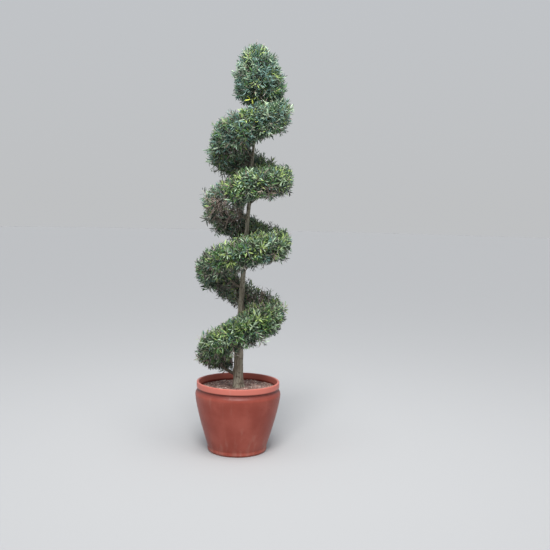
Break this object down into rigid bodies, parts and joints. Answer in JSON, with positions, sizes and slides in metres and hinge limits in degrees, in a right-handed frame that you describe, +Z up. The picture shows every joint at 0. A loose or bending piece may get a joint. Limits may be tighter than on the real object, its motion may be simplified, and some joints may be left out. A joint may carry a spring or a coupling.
{
  "type": "spiral topiary olive tree in a pot",
  "caption": "Olive tree clipped to a rising spiral band of foliage with an egg-shaped top, on a leaning bare trunk, in a round terracotta-coloured pot filled with soil.",
  "frame": {"origin": "middle of the pot's flat underside, on the ground", "axes": "+Z up along the plant, -Y towards the viewer, +X to the viewer's right, the side that the trunk leans to"},
  "size_m": [0.5693, 0.5589, 2.4501],
  "materials": {
    "pot_plastic": "terracotta-coloured moulded plastic, slightly glossy, lightly dusty",
    "soil": "matt, moist potting soil with bark chips",
    "bark": "matt grey-beige bark, finely furrowed",
    "foliage": "grey-green leathery leaves, satin above and silvery matt below"
  },
  "bodies": {
    "root": {"planter": "pot_plastic", "soil": "soil", "trunk": "bark", "bough_01": "bark", "foliage_01": "foliage", "bough_02": "bark", "foliage_02": "foliage", "bough_03": "bark", "foliage_03": "foliage", "bough_04": "bark", "foliage_04": "foliage", "bough_05": "bark", "foliage_05": "foliage", "bough_06": "bark", "foliage_06": "foliage", "bough_07": "bark", "foliage_07": "foliage", "bough_08": "bark", "foliage_08": "foliage", "bough_09": "bark", "foliage_09": "foliage", "bough_10": "bark", "foliage_10": "foliage", "bough_11": "bark", "foliage_11": "foliage", "bough_12": "bark", "foliage_12": "foliage", "bough_13": "bark", "foliage_13": "foliage", "bough_14": "bark", "foliage_14": "foliage", "bough_15": "bark", "foliage_15": "foliage", "foliage_top": "foliage"}
  },
  "joints": []
}
